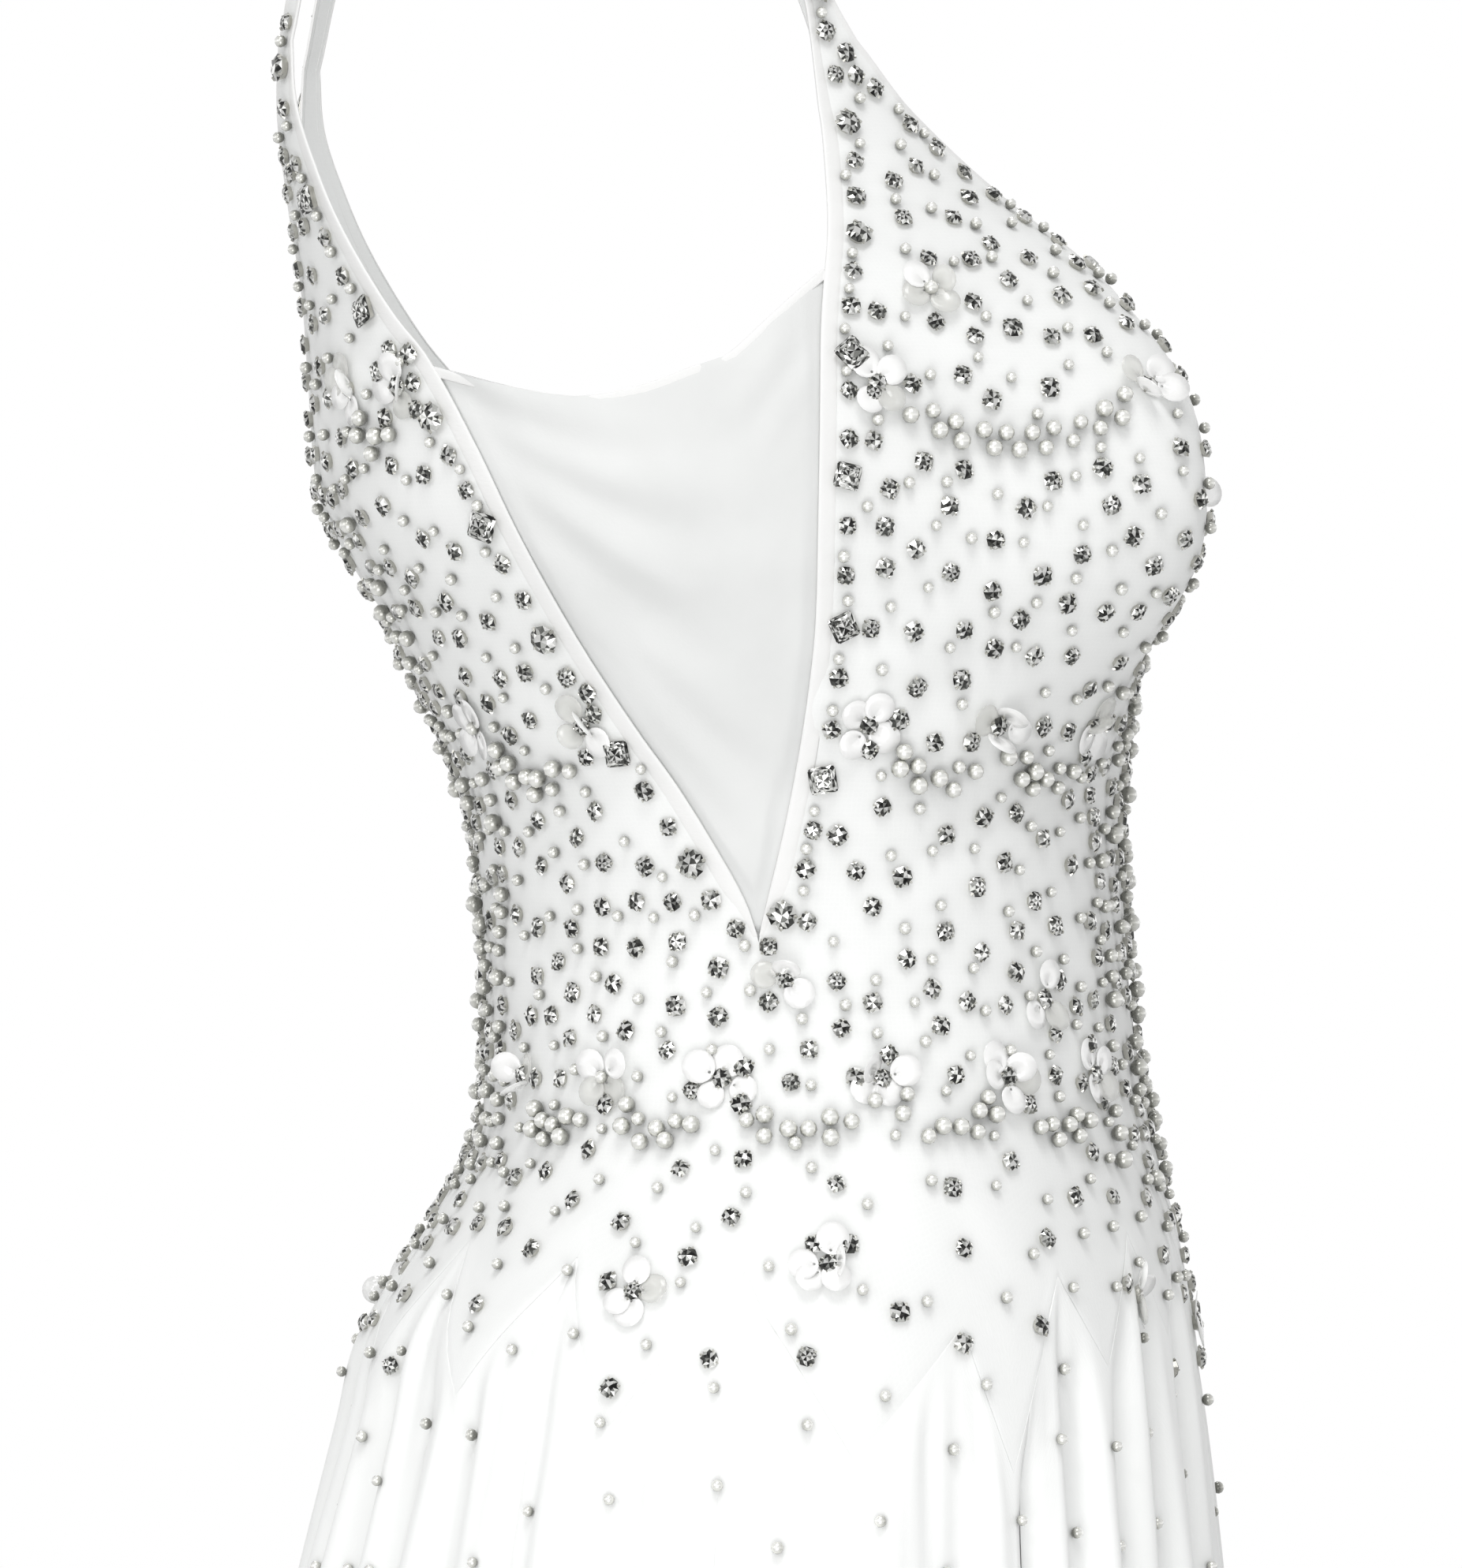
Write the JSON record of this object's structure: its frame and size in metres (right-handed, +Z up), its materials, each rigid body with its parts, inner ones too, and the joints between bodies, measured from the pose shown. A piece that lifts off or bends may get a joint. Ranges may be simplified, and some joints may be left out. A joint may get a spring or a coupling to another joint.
{
  "type": "beaded evening gown",
  "caption": "White sleeveless gown with V necks, narrow straps, plain side insets, beaded pointed bodice and gored floor-length skirt.",
  "frame": {"origin": "midway between the tops of the two shoulder straps, where the wearer's shoulders hold the gown", "axes": "+Z up, +X towards the gown's front, +Y towards its wearer's left; the pictured side is -Y"},
  "size_m": [0.6917, 0.751, 1.4616],
  "materials": {
    "beaded_tulle": "matt",
    "plain_crepe": "soft sheen",
    "chiffon": "matt",
    "satin_binding": "satin"
  },
  "bodies": {
    "root": {"front_panel_right": "beaded_tulle", "front_panel_left": "beaded_tulle", "back_panel_right": "beaded_tulle", "back_panel_left": "beaded_tulle", "side_inset_right": "plain_crepe", "side_inset_left": "plain_crepe", "inset_binding_right": "satin_binding", "inset_binding_left": "satin_binding", "armhole_binding_right": "satin_binding", "armhole_binding_left": "satin_binding", "neckline_binding_right": "satin_binding", "neckline_binding_left": "satin_binding", "skirt_front": "chiffon", "skirt_side_front_right": "chiffon", "skirt_side_front_left": "chiffon", "skirt_side_back_right": "chiffon", "skirt_side_back_left": "chiffon", "skirt_back_right": "chiffon", "skirt_back_left": "chiffon"}
  },
  "joints": []
}
